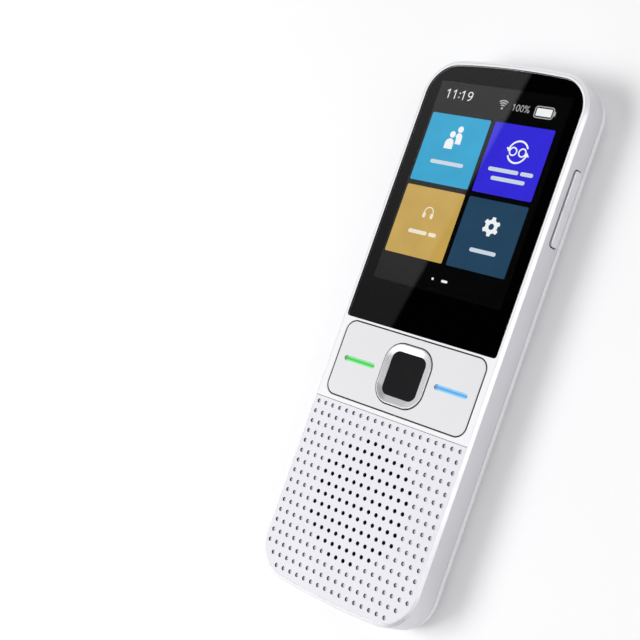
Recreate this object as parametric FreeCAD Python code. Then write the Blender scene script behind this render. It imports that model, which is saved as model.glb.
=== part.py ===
import FreeCAD, Part
import math
import os

os.makedirs("parts", exist_ok=True)

# A handheld translator, lying on its back with the screen up.
# Millimetres. X is across the front, Y runs from the speaker end to the screen end, Z is up.
# The origin is the middle of the flat back.

# Outside of the body
body_width = 46.0
body_length = 128.0
body_thickness = 11.5
corner_radius = 9.0
end_crown_radius = 200.0
front_chamfer = 0.65
rear_edge_radius = 4.9
parting_height = 5.0
parting_groove_width = 0.15
parting_groove_depth = 0.25

# Walls and fits of the still pieces
frame_wall = 1.5
frame_land = 0.1
cover_wall = 1.4
panel_thickness = 1.2
seat_gap = 0.04
lip_height = 0.8
lip_thickness = 0.5
lip_root = 0.4
lip_clearance = 1.5
edge_break = 0.12
bezel_skirt = 1.0
bezel_skirt_reach = 1.6

# Where the front is divided, measured from the speaker end
grille_length = 43.05
seam_width = 0.12
key_block_length = 19.75
key_from_seam = 10.15

# Speaker grille
dot_diameter = 1.0
dot_depth = 0.45
dot_pitch_x = 2.2
dot_pitch_y = 2.42
dot_side_margin = 2.0
dot_edge_margin = 1.7
dot_bottom_margin = 2.9
dot_top_margin = 1.35

# Speaker
sound_diameter = 28.0
speaker_diameter = 30.0
speaker_rim = 0.5
speaker_depth = 4.3
magnet_diameter = 15.0
magnet_height = 1.2
mesh_thickness = 0.2
gasket_thickness = 0.3
gasket_clearance = 0.6
basket_step = 1.0
basket_wall = 0.5
cone_margin = 0.9
cone_inner_radius = 4.5
cone_depth = 1.2
cone_skin = 0.25
cone_drop = 0.2
cone_plug_margin = 0.3
coil_diameter = 7.0
coil_wall = 0.3
coil_gap = 0.5
speaker_wall = 1.0
speaker_wall_depth = 2.8
speaker_gap = 0.1

# Glass and screen
glass_margin = 1.35
glass_thickness = 0.8
glass_corner = 0.8
glass_gap = 0.05
glass_ledge = 0.85
print_thickness = 0.05
tape_thickness = 0.1
screen_side_border = 3.29
screen_top_border = 4.57
screen_bottom_border = 10.32
cell_side_border = 0.84
cell_top_border = 0.92
cell_bottom_border = 5.2
cell_corner = 1.2
cell_thickness = 0.9
cell_air = 0.1
cell_clearance = 0.6
backlight_thickness = 1.25
backlight_step = 1.5
carrier_thickness = 0.3
carrier_hole_diameter = 6.0
flex_thickness = 0.15
flex_width = 14.0
flex_fold_gap = 0.45
flex_top_reach = 1.4
flex_foot_reach = 4.0

# Key plate, which rocks to the left and to the right
key_plate_margin = 2.8
key_plate_height = 17.6
key_plate_corner = 2.5
key_gap = 0.28
key_edge = 0.18
plunger_depth = 1.4
plunger_diameter = 2.6
side_switch_x = 14.0
side_switch_drop = 4.5
pivot_drop = 2.1
pivot_pin_diameter = 1.0
pivot_pin_length = 1.6
pivot_lug_width = 3.2
pivot_lug_length = 1.2
pivot_lug_inset = 0.2
pivot_lug_drop = 0.2
pivot_block_width = 6.0
pivot_block_drop = 2.8
pivot_block_end = 1.2
running_gap = 0.05

# Light bars in the key plate
bar_length = 9.2
bar_width = 1.25
bar_middle_x = 13.4
bar_recess = 0.15
bar_flange = 0.6
bar_flange_height = 0.4
bar_gap = 0.03
round_end_margin = 0.01

# Centre key
ring_width = 13.2
ring_height = 13.9
ring_corner = 4.3
ring_rise = 0.27
ring_land = 0.3
ring_edge = 0.15
ring_depth = 1.77
cap_width = 9.75
cap_height = 10.3
cap_corner = 1.9
cap_drop = 0.33
cap_thickness = 0.84
cap_gap = 0.03
cap_dish_radius = 80.0
cap_dish_sag = 0.12
carrier_width = 15.6
carrier_height = 11.0
carrier_corner = 1.0
carrier_web = 0.4
stem_diameter = 3.0
stem_length = 0.7

# Side keys
side_key_height = 2.9
side_key_corner = 0.9
side_key_gap = 0.25
side_key_rise = 0.45
side_key_edge = 0.35
side_key_middle = 7.1
volume_key_length = 17.4
volume_key_from_top = 29.6
volume_key_depth = 3.0
volume_notch_radius = 2.0
volume_notch_depth = 0.15
volume_pin_diameter = 0.8
volume_pin_length = 0.6
volume_pin_inset = 2.3
volume_lug_inset = 3.1
volume_lug_width = 2.6
volume_lug_thickness = 0.4
power_key_length = 6.5
power_key_from_top = 30.5
power_key_travel = 0.3
power_flange_length = 8.4
power_flange_thickness = 0.4
power_flange_seat = 0.1
power_free_gap = 0.1
power_stem_diameter = 1.6
power_stem_length = 0.4
switch_depth = 1.0
switch_width = 3.0
switch_height = 2.0
switch_button = 0.45
switch_button_diameter = 1.2
switch_free_gap = 0.25
switch_spacing = 13.0
side_board_thickness = 0.5
side_board_height = 2.4
side_board_drop = 0.05
side_board_notch = 0.8

# Main board and what it carries
board_bottom = 6.5
board_thickness = 0.8
board_gap = 0.4
board_from_seam = 3.65
tab_height = 0.65
tab_width = 3.2
tab_reach = 3.9
screw_inset = 3.9
screw_low_row = 2.2
screw_middle_row = 12.0
screw_high_row = 9.0
screw_diameter = 1.4
screw_head_diameter = 2.5
screw_head_height = 0.5
screw_hole_gap = 0.15
screw_tip_gap = 0.05
dome_diameter = 4.6
dome_height = 0.4
pad_thickness = 0.4
pad_bump_height = 0.4
pad_bump_diameter = 3.4
pad_margin = 1.2
pad_corner = 1.5
led_size = 1.6
led_height = 0.35
can_height = 1.1
can_wall = 0.2
can_width = 24.0
can_corner = 1.0
low_can_length = 18.0
low_can_offset = 14.0
high_can_length = 14.0
high_can_offset = 12.0

# Battery
battery_width = 34.0
battery_thickness = 3.6
battery_from_seam = 1.0
battery_from_top = 26.0
battery_corner = 1.5
battery_edge = 0.5
battery_tape_thickness = 0.2
battery_tape_margin = 4.0
battery_tape_corner = 1.0
connector_width = 6.0
connector_length = 3.0
connector_gap = 0.6
lead_margin = 0.6
lead_drop = 0.9
lead_reach = 1.4

# Charging board and socket
charge_board_bottom = 4.8
charge_board_width = 30.0
charge_board_length = 6.4
charge_board_from_end = 2.0
charge_board_gap = 0.3
charge_screw_x = 11.8
charge_boss_diameter = 3.4
charge_screw_reach = 2.2
socket_width = 8.94
socket_height = 3.16
socket_length = 7.3
socket_wall = 0.3
socket_recess = 0.15
socket_gap = 0.15
socket_back = 1.1
tongue_width = 6.7
tongue_thickness = 0.7
tongue_length = 4.9
link_width = 8.0
link_low_reach = 1.5
link_high_reach = 2.5

# Microphones
port_diameter = 1.0
microphone_width = 3.5
microphone_length = 2.4
microphone_height = 1.0
bottom_microphone_inset = 0.9
top_microphone_inset = 0.6
bottom_port_x = 8.4
bottom_port_height = 6.8
top_port_x = 8.0
top_port_height = 7.9
boot_width = 3.2
boot_height = 1.4
bottom_boot_gap = 0.1
top_boot_gap = 0.3

# Rear camera
camera_from_top = 14.0
window_diameter = 9.0
window_thickness = 0.8
window_ledge = 0.9
trim_width = 0.7
camera_size = 8.5
camera_height = 2.6
camera_corner = 0.5
lens_diameter = 6.4
lens_wall = 1.2
lens_recess = 0.9
lens_gap = 0.1
flash_x = 9.0
flash_diameter = 3.0
flash_led_height = 0.5
flash_led_size = 2.4
antenna_width = 24.0
antenna_length = 3.4
antenna_corner = 0.5
antenna_from_top = 6.2

# Heights and places worked out from the sizes above
half_width = body_width / 2
top_end = body_length / 2
bottom_end = -body_length / 2
panel_inset = front_chamfer + frame_land + seat_gap
panel_seat = body_thickness - panel_thickness
seam_y = bottom_end + grille_length
key_y = seam_y + key_from_seam
glass_bottom_y = seam_y + key_block_length
glass_bottom_z = body_thickness - glass_thickness
print_bottom_z = glass_bottom_z - print_thickness
ledge_z = print_bottom_z - tape_thickness
skirt_z = panel_seat - bezel_skirt
screen_half_width = half_width - glass_margin - screen_side_border
screen_top_y = top_end - glass_margin - screen_top_border
screen_bottom_y = glass_bottom_y + screen_bottom_border
cell_half_width = screen_half_width + cell_side_border
cell_top_y = screen_top_y + cell_top_border
cell_bottom_y = screen_bottom_y - cell_bottom_border
cell_top_z = print_bottom_z - cell_air
backlight_top_z = cell_top_z - cell_thickness
carrier_top_z = backlight_top_z - backlight_thickness
carrier_bottom_z = carrier_top_z - carrier_thickness
board_top = board_bottom + board_thickness
board_bottom_y = seam_y - board_from_seam
pivot_z = body_thickness - pivot_drop
key_plate_width = body_width - 2 * key_plate_margin
plunger_tip_z = panel_seat - plunger_depth
ring_top_z = body_thickness + ring_rise
cap_top_z = ring_top_z - cap_drop
carrier_key_top_z = ring_top_z - ring_depth
volume_y = top_end - volume_key_from_top
power_y = top_end - power_key_from_top
side_key_low = side_key_middle - side_key_height / 2
side_key_high = side_key_middle + side_key_height / 2
volume_pin_x = half_width - volume_pin_inset
battery_bottom_y = seam_y + battery_from_seam
battery_top_y = top_end - battery_from_top
battery_bottom_z = cover_wall + battery_tape_thickness
battery_top_z = battery_bottom_z + battery_thickness
camera_y = top_end - camera_from_top
charge_board_top = charge_board_bottom + board_thickness
socket_z = charge_board_top + socket_height / 2
socket_mouth_y = bottom_end + socket_recess
overshoot = 1.0
overlap = 0.1
tolerance = 1e-4
rim_margin = 0.01


def vector(x, y, z):
    return FreeCAD.Vector(x, y, z)


# Basic solids


def box(x0, x1, y0, y1, z0, z1):
    return Part.makeBox(x1 - x0, y1 - y0, z1 - z0, vector(x0, y0, z0))


def rod(x, y, z0, z1, diameter):
    return Part.makeCylinder(diameter / 2, z1 - z0, vector(x, y, z0))


def rod_along_y(x, z, y0, y1, diameter):
    return Part.makeCylinder(diameter / 2, y1 - y0, vector(x, y0, z), vector(0, 1, 0))


def rod_along_x(y, z, x0, x1, diameter):
    return Part.makeCylinder(diameter / 2, x1 - x0, vector(x0, y, z), vector(1, 0, 0))


def tube(x, y, z0, z1, outer, inner):
    return rod(x, y, z0, z1, outer).cut(rod(x, y, z0, z1, inner))


def outline(inset, z):
    """The body's plan, drawn in by inset: straight sides, round corners and gently crowned ends."""
    corner_x = half_width - corner_radius
    crown_y = top_end - end_crown_radius
    corner_y = crown_y + math.sqrt((end_crown_radius - corner_radius) ** 2 - corner_x ** 2)
    lean = math.atan2(corner_x, corner_y - crown_y)
    middle = (lean + math.pi / 2) / 2
    crown = end_crown_radius - inset
    corner = corner_radius - inset
    side_x = half_width - inset
    crown_end = (crown * math.sin(lean), crown_y + crown * math.cos(lean))
    corner_middle = (corner_x + corner * math.sin(middle), corner_y + corner * math.cos(middle))

    def place(x_sign, y_sign, point):
        return vector(x_sign * point[0], y_sign * point[1], z)

    def corner_arc(x_sign, y_sign):
        ends = place(x_sign, y_sign, crown_end), place(x_sign, y_sign, (side_x, corner_y))
        return Part.Arc(ends[0], place(x_sign, y_sign, corner_middle), ends[1]).toShape()

    def crown_arc(y_sign):
        ends = place(-1, y_sign, crown_end), place(1, y_sign, crown_end)
        return Part.Arc(ends[0], place(1, y_sign, (0.0, crown_y + crown)), ends[1]).toShape()

    def side_line(x_sign):
        ends = place(x_sign, 1, (side_x, corner_y)), place(x_sign, -1, (side_x, corner_y))
        return Part.LineSegment(ends[0], ends[1]).toShape()

    edges = [
        crown_arc(1), corner_arc(1, 1), side_line(1), corner_arc(1, -1),
        crown_arc(-1), corner_arc(-1, -1), side_line(-1), corner_arc(-1, 1),
    ]
    return Part.Wire(Part.__sortEdges__(edges))


def prism(inset, z0, z1):
    return Part.Face(outline(inset, z0)).extrude(vector(0, 0, z1 - z0))


def ring_prism(outer_inset, inner_inset, z0, z1):
    return prism(outer_inset, z0, z1).cut(prism(inner_inset, z0 - overshoot, z1 + overshoot))


def rounded_rectangle(x, y, width, height, radius, z):
    """A closed wire with round corners, centred on x and y."""
    w = width / 2
    h = height / 2
    k = radius * (1 - math.sqrt(0.5))
    edges = []
    for sx, sy in ((1, 1), (-1, 1), (-1, -1), (1, -1)):
        near_side = vector(x + sx * w, y + sy * (h - radius), z)
        near_end = vector(x + sx * (w - radius), y + sy * h, z)
        middle = vector(x + sx * (w - k), y + sy * (h - k), z)
        edges.append(Part.Arc(near_side, middle, near_end).toShape())
    for sx in (1, -1):
        low = vector(x + sx * w, y - h + radius, z)
        high = vector(x + sx * w, y + h - radius, z)
        edges.append(Part.LineSegment(low, high).toShape())
    for sy in (1, -1):
        left = vector(x - w + radius, y + sy * h, z)
        right = vector(x + w - radius, y + sy * h, z)
        edges.append(Part.LineSegment(left, right).toShape())
    return Part.Wire(Part.__sortEdges__(edges))


def plate(x, y, width, height, radius, z0, z1):
    face = Part.Face(rounded_rectangle(x, y, width, height, radius, z0))
    return face.extrude(vector(0, 0, z1 - z0))


def side_plate(y, z, length, height, radius, x0, x1):
    """A plate that stands against a side wall: length along Y, height along Z."""
    shape = plate(y, z, length, height, radius, x0, x1)
    shape.rotate(vector(0, 0, 0), vector(1, 1, 1), 120)
    return shape


def end_plate(x, z, width, height, radius, y0, y1):
    """A plate that stands against an end wall: width along X, height along Z."""
    shape = plate(x, z, width, height, radius, -y1, -y0)
    shape.rotate(vector(0, 0, 0), vector(1, 0, 0), 90)
    return shape


def level_edges(shape, z):
    found = []
    for edge in shape.Edges:
        if abs(edge.BoundBox.ZMin - z) < tolerance and abs(edge.BoundBox.ZMax - z) < tolerance:
            found.append(edge)
    return found


def edges_at_x(shape, x):
    found = []
    for edge in shape.Edges:
        if abs(edge.BoundBox.XMin - x) < tolerance and abs(edge.BoundBox.XMax - x) < tolerance:
            found.append(edge)
    return found


def upright_edges_at_y(shape, y):
    found = []
    for edge in shape.Edges:
        at_y = abs(edge.BoundBox.YMin - y) < tolerance and abs(edge.BoundBox.YMax - y) < tolerance
        if at_y and edge.BoundBox.ZLength > tolerance and edge.BoundBox.XLength < tolerance:
            found.append(edge)
    return found


def joined(shapes):
    return shapes[0].multiFuse(shapes[1:]).removeSplitter()


def above(y):
    """Everything on the screen side of y."""
    return box(-body_width, body_width, y, body_length, -overshoot, body_thickness + overshoot)


def below(y):
    """Everything on the speaker side of y."""
    return box(-body_width, body_width, -body_length, y, -overshoot, body_thickness + overshoot)


def save(name, shape):
    shape.exportStep("parts/" + name + ".step")


# Places of repeated things


def board_screw_places():
    x = half_width - screw_inset
    rows = (board_bottom_y + screw_low_row, glass_bottom_y + screw_middle_row, top_end - screw_high_row)
    return [(side * x, y) for y in rows for side in (-1, 1)]


def charge_screw_places():
    y = bottom_end + charge_board_from_end + charge_board_length / 2
    return [(-charge_screw_x, y), (charge_screw_x, y)]


def switch_places():
    side_y = key_y - side_switch_drop
    return [(-side_switch_x, side_y), (0.0, key_y), (side_switch_x, side_y)]


def speaker_centre():
    return grille_rows()[0] + (grille_row_count() - 1) / 2 * dot_pitch_y + dot_pitch_y / 2


def grille_row_count():
    span = grille_length - dot_bottom_margin - dot_top_margin
    return int(span / dot_pitch_y) + 1


def grille_rows():
    count = grille_row_count()
    first = seam_y - dot_top_margin - (count - 1) * dot_pitch_y
    return [first + row * dot_pitch_y for row in range(count)]


def grille_columns():
    half_count = int((half_width - dot_side_margin) / dot_pitch_x + 0.5)
    return [(column + 0.5) * dot_pitch_x for column in range(-half_count, half_count)]


def margin_to_outline(x, y):
    """How far a point near a lower corner lies inside the body's outline."""
    corner_x = half_width - corner_radius
    crown_y = end_crown_radius - top_end
    corner_y = crown_y - math.sqrt((end_crown_radius - corner_radius) ** 2 - corner_x ** 2)
    if abs(x) < corner_x or y > corner_y:
        return min(half_width - abs(x), y - bottom_end)
    return corner_radius - math.hypot(abs(x) - corner_x, y - corner_y)


def grille_dots():
    """All dots of the grille, each with whether it is open to the speaker."""
    dots = []
    for y in grille_rows():
        for x in grille_columns():
            if margin_to_outline(x, y) >= dot_edge_margin:
                is_open = math.hypot(x, y - speaker_centre()) < sound_diameter / 2
                dots.append((x, y, is_open))
    return dots


# Housing


def make_mid_frame():
    shell = prism(0, parting_height, body_thickness)
    shell = shell.makeChamfer(front_chamfer, level_edges(shell, body_thickness))
    shell = shell.cut(prism(frame_wall, parting_height - overshoot, panel_seat + overshoot))
    shell = shell.cut(prism(front_chamfer + frame_land, panel_seat, body_thickness + overshoot))
    rebate_inset = cover_wall - lip_thickness - seat_gap
    rebate_top = parting_height + lip_height + seat_gap
    shell = shell.cut(prism(rebate_inset, parting_height - overshoot, rebate_top))
    tabs = []
    for x, y in board_screw_places():
        outer = math.copysign(half_width - frame_wall / 2, x)
        inner = math.copysign(half_width - frame_wall - tab_reach, x)
        x0, x1 = sorted((outer, inner))
        tab = box(x0, x1, y - tab_width / 2, y + tab_width / 2, board_top, board_top + tab_height)
        tab = tab.common(prism(frame_wall / 2, board_top, board_top + tab_height))
        tabs.append(tab.cut(rod(x, y, board_top, board_top + tab_height, screw_diameter)))
    for z0, z1 in volume_lug_levels():
        lug = box(half_width - volume_lug_inset, half_width - frame_wall / 2,
                  volume_y - volume_lug_width / 2, volume_y + volume_lug_width / 2, z0, z1)
        bore = rod(volume_pin_x, volume_y, z0, z1, volume_pin_diameter + 2 * running_gap)
        tabs.append(lug.cut(bore))
    shell = joined([shell] + tabs)
    slot_height = side_key_height + 2 * side_key_gap
    slot_corner = side_key_corner + side_key_gap
    inner_x = half_width - frame_wall - overlap
    volume_slot = side_plate(volume_y, side_key_middle, volume_key_length + 2 * side_key_gap,
                             slot_height, slot_corner, inner_x, half_width + overshoot)
    power_slot = side_plate(power_y, side_key_middle, power_key_length + 2 * side_key_gap,
                            slot_height, slot_corner, -half_width - overshoot, -inner_x)
    socket_hole = end_plate(0, socket_z, socket_width + 2 * socket_gap, socket_height + 2 * socket_gap,
                            socket_height / 2, bottom_end - overshoot, bottom_end + frame_wall + overshoot)
    bottom_port = rod_along_y(bottom_port_x, bottom_port_height, bottom_end - overshoot,
                              bottom_end + frame_wall + overshoot, port_diameter)
    top_port = rod_along_y(top_port_x, top_port_height, top_end - frame_wall - overshoot,
                           top_end + overshoot, port_diameter)
    for hole in (volume_slot, power_slot, socket_hole, bottom_port, top_port):
        shell = shell.cut(hole)
    return shell


def volume_lug_levels():
    low = side_key_low - side_key_gap
    high = side_key_high + side_key_gap
    return ((low - volume_lug_thickness, low), (high, high + volume_lug_thickness))


def make_back_cover():
    shell = prism(0, 0, parting_height)
    shell = shell.makeFillet(rear_edge_radius, level_edges(shell, 0))
    hollow = prism(cover_wall, cover_wall, parting_height + overshoot)
    hollow = hollow.makeFillet(rear_edge_radius - cover_wall, level_edges(hollow, cover_wall))
    shell = shell.cut(hollow)
    groove_z = parting_height - parting_groove_width
    shell = shell.cut(ring_prism(-overshoot, parting_groove_depth, groove_z, parting_height + overshoot))
    lip = ring_prism(cover_wall - lip_thickness, cover_wall,
                     parting_height - lip_root, parting_height + lip_height)
    lip_top = parting_height + lip_height + overshoot
    volume_half = volume_key_length / 2 + lip_clearance
    power_half = power_flange_length / 2 + lip_clearance
    socket_half = socket_width / 2 + lip_clearance
    lip = lip.cut(box(0, body_width, volume_y - volume_half, volume_y + volume_half, parting_height,
                      lip_top))
    lip = lip.cut(box(-body_width, 0, power_y - power_half, power_y + power_half, parting_height, lip_top))
    lip = lip.cut(box(-socket_half, socket_half, -body_length, 0, parting_height, lip_top))
    posts = []
    for x, y in charge_screw_places():
        posts.append(rod(x, y, cover_wall - lip_root, charge_board_bottom, charge_boss_diameter))
    shell = joined([shell, lip] + posts)
    for x, y in charge_screw_places():
        shell = shell.cut(rod(x, y, cover_wall, charge_board_bottom + overshoot, screw_diameter))
    trim_diameter = window_diameter + 2 * trim_width
    shell = shell.cut(rod(0, camera_y, -overshoot, window_thickness, trim_diameter + 2 * seat_gap))
    shell = shell.cut(rod(0, camera_y, -overshoot, cover_wall + overshoot,
                          window_diameter - 2 * window_ledge))
    flash_hole = flash_diameter + 2 * seat_gap
    return shell.cut(rod(flash_x, camera_y, -overshoot, cover_wall + overshoot, flash_hole))


def glass_block(grow, z0, z1):
    """The glass's plan, made larger by grow all round."""
    block = prism(glass_margin - grow, z0, z1).common(above(glass_bottom_y - grow))
    return block.makeFillet(glass_corner + grow, upright_edges_at_y(block, glass_bottom_y - grow))


def key_opening(grow, z0, z1):
    return plate(0, key_y, key_plate_width + 2 * grow, key_plate_height + 2 * grow,
                 key_plate_corner + grow, z0, z1)


def display_opening(z0, z1):
    return prism(glass_margin + glass_ledge, z0, z1).common(above(cell_bottom_y - cell_clearance))


def make_front_bezel():
    seam_edge = seam_y + seam_width / 2
    top_plate = prism(panel_inset, panel_seat, body_thickness).common(above(seam_edge))
    skirt = prism(frame_wall + seat_gap, skirt_z, panel_seat).common(above(seam_y - bezel_skirt_reach))
    bearing_length = pivot_pin_length + pivot_block_end
    blocks = []
    for side in (-1, 1):
        y0 = key_y + side * (key_plate_height / 2 + key_gap)
        y1 = y0 + side * bearing_length
        low, high = sorted((y0, y1))
        blocks.append(box(-pivot_block_width / 2, pivot_block_width / 2, low, high,
                          body_thickness - pivot_block_drop, panel_seat))
    shape = joined([top_plate, skirt] + blocks)
    shape = shape.cut(glass_block(glass_gap, ledge_z, body_thickness + overshoot))
    shape = shape.cut(display_opening(skirt_z - overshoot, body_thickness + overshoot))
    shape = shape.cut(key_opening(key_gap, skirt_z - overshoot, body_thickness + overshoot))
    shape = shape.makeChamfer(edge_break, key_rim_edges(shape))
    bore_reach = key_plate_height / 2 + pivot_pin_length + running_gap
    bore = rod_along_y(0, pivot_z, key_y - bore_reach, key_y + bore_reach,
                       pivot_pin_diameter + 2 * running_gap)
    return shape.cut(bore)


def key_rim_edges(shape):
    """The edges round the mouth of the key opening."""
    half_x = key_plate_width / 2 + key_gap + rim_margin
    half_y = key_plate_height / 2 + key_gap + rim_margin
    rim = []
    for edge in level_edges(shape, body_thickness):
        bound = edge.BoundBox
        in_x = bound.XMin > -half_x and bound.XMax < half_x
        in_y = bound.YMin > key_y - half_y and bound.YMax < key_y + half_y
        if in_x and in_y:
            rim.append(edge)
    return rim


def make_grille_panel():
    dots = grille_dots()
    seam_edge = seam_y - seam_width / 2
    floor_z = body_thickness - dot_depth

    def slab(points, z0, z1):
        outer = prism(panel_inset, z0, z1).common(below(seam_edge))
        bottom_face = [face for face in outer.Faces if face.BoundBox.ZMax < z0 + tolerance][0]
        wires = [bottom_face.OuterWire]
        for x, y in points:
            circle = Part.Circle(vector(x, y, z0), vector(0, 0, 1), dot_diameter / 2)
            wires.append(Part.Wire(circle.toShape()))
        return Part.Face(wires, "Part::FaceMakerBullseye").extrude(vector(0, 0, z1 - z0))

    open_dots = [(x, y) for x, y, is_open in dots if is_open]
    every_dot = [(x, y) for x, y, is_open in dots]
    lower = slab(open_dots, panel_seat, floor_z)
    upper = slab(every_dot, floor_z, body_thickness)
    wall_outer = speaker_diameter + 2 * speaker_gap + 2 * speaker_wall
    wall = tube(0, speaker_centre(), panel_seat - speaker_wall_depth, panel_seat,
                wall_outer, speaker_diameter + 2 * speaker_gap)
    return joined([lower, upper, wall])


# Glass and screen


def make_cover_glass():
    glass = glass_block(0, glass_bottom_z, body_thickness)
    return glass.makeChamfer(edge_break, level_edges(glass, body_thickness))


def make_black_print():
    layer = glass_block(-edge_break, print_bottom_z, glass_bottom_z)
    window = box(-screen_half_width, screen_half_width, screen_bottom_y, screen_top_y,
                 print_bottom_z - overshoot, glass_bottom_z + overshoot)
    return layer.cut(window)


def make_glass_tape():
    layer = glass_block(-edge_break, ledge_z, print_bottom_z)
    inner_inset = glass_margin + glass_ledge
    hole = prism(inner_inset, ledge_z - overshoot, print_bottom_z + overshoot)
    return layer.cut(hole.common(above(cell_bottom_y - cell_clearance)))


def display_sheet(bottom_y, z0, z1):
    """A layer of the display, as wide as the cell, from bottom_y up to the cell's top."""
    middle = (bottom_y + cell_top_y) / 2
    return plate(0, middle, 2 * cell_half_width, cell_top_y - bottom_y, cell_corner, z0, z1)


def make_lcd_cell():
    return display_sheet(cell_bottom_y, backlight_top_z, cell_top_z)


def make_backlight():
    return display_sheet(cell_bottom_y + backlight_step, carrier_top_z, backlight_top_z)


def make_display_carrier():
    sheet = display_sheet(cell_bottom_y, carrier_bottom_z, carrier_top_z)
    middle = (cell_bottom_y + cell_top_y) / 2
    for side in (-1, 1):
        hole_x = side * cell_half_width / 2
        sheet = sheet.cut(rod(hole_x, middle, carrier_bottom_z, carrier_top_z, carrier_hole_diameter))
    return sheet


def make_display_flex():
    half = flex_width / 2
    y0 = cell_bottom_y - flex_fold_gap
    first = box(-half, half, y0, cell_bottom_y + flex_top_reach,
                backlight_top_z - flex_thickness, backlight_top_z)
    drop = box(-half, half, y0, y0 + flex_thickness, board_top, backlight_top_z)
    foot = box(-half, half, y0, cell_bottom_y + flex_foot_reach, board_top, board_top + flex_thickness)
    return joined([first, drop, foot])


# Keys on the front


def make_key_plate():
    body = key_opening(0, panel_seat, body_thickness)
    body = body.makeFillet(key_edge, level_edges(body, body_thickness))
    pieces = [body]
    for side in (-1, 1):
        outer = key_y + side * (key_plate_height / 2 - pivot_lug_inset)
        inner = outer - side * pivot_lug_length
        low, high = sorted((outer, inner))
        pieces.append(box(-pivot_lug_width / 2, pivot_lug_width / 2, low, high,
                          pivot_z - pivot_pin_diameter / 2 - pivot_lug_drop, panel_seat))
        tip = outer + side * (pivot_pin_length + pivot_lug_inset)
        low, high = sorted((inner, tip))
        pieces.append(rod_along_y(0, pivot_z, low, high, pivot_pin_diameter))
    for x, y in switch_places():
        if x:
            pieces.append(rod(x, y, plunger_tip_z, panel_seat, plunger_diameter))
    shape = joined(pieces)
    opening = plate(0, key_y, ring_width + 2 * key_gap, ring_height + 2 * key_gap,
                    ring_corner + key_gap, panel_seat - overshoot, body_thickness + overshoot)
    shape = shape.cut(opening)
    for side in (-1, 1):
        slot = plate(side * bar_middle_x, key_y, bar_length, bar_width, bar_width / 2 - round_end_margin,
                     panel_seat - overshoot, body_thickness + overshoot)
        shape = shape.cut(slot)
    return shape


def make_light_bar(side):
    x = side * bar_middle_x
    radius = bar_width / 2 - bar_gap - round_end_margin
    top = plate(x, key_y, bar_length - 2 * bar_gap, bar_width - 2 * bar_gap, radius,
                panel_seat - bar_flange_height, body_thickness - bar_recess)
    flange = plate(x, key_y, bar_length + 2 * bar_flange, bar_width + 2 * bar_flange, bar_flange,
                   panel_seat - bar_flange_height, panel_seat)
    return joined([top, flange])


def make_centre_ring():
    body = plate(0, key_y, ring_width, ring_height, ring_corner, carrier_key_top_z, ring_top_z)
    body = body.makeFillet(ring_edge, level_edges(body, ring_top_z))
    top = rounded_rectangle(0, key_y, ring_width - 2 * ring_land, ring_height - 2 * ring_land,
                            ring_corner - ring_land, ring_top_z)
    bottom = rounded_rectangle(0, key_y, cap_width, cap_height, cap_corner, cap_top_z)
    body = body.cut(Part.makeLoft([bottom, top], True, True))
    return body.cut(plate(0, key_y, cap_width, cap_height, cap_corner,
                          carrier_key_top_z - overshoot, cap_top_z + tolerance))


def make_centre_cap():
    cap = plate(0, key_y, cap_width - 2 * cap_gap, cap_height - 2 * cap_gap, cap_corner - cap_gap,
                cap_top_z - cap_thickness, cap_top_z)
    cap = cap.makeFillet(edge_break, level_edges(cap, cap_top_z))
    ball = Part.makeSphere(cap_dish_radius, vector(0, key_y, cap_top_z - cap_dish_sag + cap_dish_radius))
    return cap.cut(ball)


def make_centre_carrier():
    web_bottom = carrier_key_top_z - carrier_web
    web = plate(0, key_y, carrier_width, carrier_height, carrier_corner, web_bottom, carrier_key_top_z)
    core = plate(0, key_y, cap_width - 2 * cap_gap, cap_height - 2 * cap_gap, cap_corner - cap_gap,
                 web_bottom, cap_top_z - cap_thickness)
    stem = rod(0, key_y, web_bottom - stem_length, web_bottom + overlap, stem_diameter)
    return joined([web, core, stem])


def make_key_domes():
    domes = []
    for x, y in switch_places():
        base = dome_diameter / 2
        ball_radius = (base ** 2 + dome_height ** 2) / (2 * dome_height)
        ball = Part.makeSphere(ball_radius, vector(x, y, board_top + dome_height - ball_radius))
        domes.append(ball.common(rod(x, y, board_top, board_top + dome_height, dome_diameter)))
    return Part.makeCompound(domes)


def make_key_pad():
    z0 = board_top + dome_height
    z1 = z0 + pad_thickness
    pad_width = key_plate_width - 2 * pad_margin
    pieces = [plate(0, key_y, pad_width, key_plate_height - 2 * pad_margin, pad_corner, z0, z1)]
    for x, y in switch_places():
        pieces.append(rod(x, y, z0, z1 + pad_bump_height, pad_bump_diameter))
    return joined(pieces)


def make_indicator_leds():
    leds = []
    for side in (-1, 1):
        x = side * bar_middle_x
        leds.append(box(x - led_size / 2, x + led_size / 2, key_y - led_size / 4, key_y + led_size / 4,
                        board_top, board_top + led_height))
    return Part.makeCompound(leds)


# Keys on the sides


def make_volume_rocker():
    inner_x = half_width - volume_key_depth
    outer_x = half_width + side_key_rise
    key = side_plate(volume_y, side_key_middle, volume_key_length, side_key_height, side_key_corner,
                     inner_x, outer_x)
    key = key.makeFillet(side_key_edge, edges_at_x(key, outer_x))
    notch_x = outer_x - volume_notch_depth + volume_notch_radius
    notch = rod(notch_x, volume_y, side_key_low - overshoot, side_key_high + overshoot,
                2 * volume_notch_radius)
    key = key.cut(notch)
    low_pin = rod(volume_pin_x, volume_y, side_key_low - volume_pin_length, side_key_low + overlap,
                  volume_pin_diameter)
    high_pin = rod(volume_pin_x, volume_y, side_key_high - overlap, side_key_high + volume_pin_length,
                   volume_pin_diameter)
    return joined([key, low_pin, high_pin])


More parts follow.
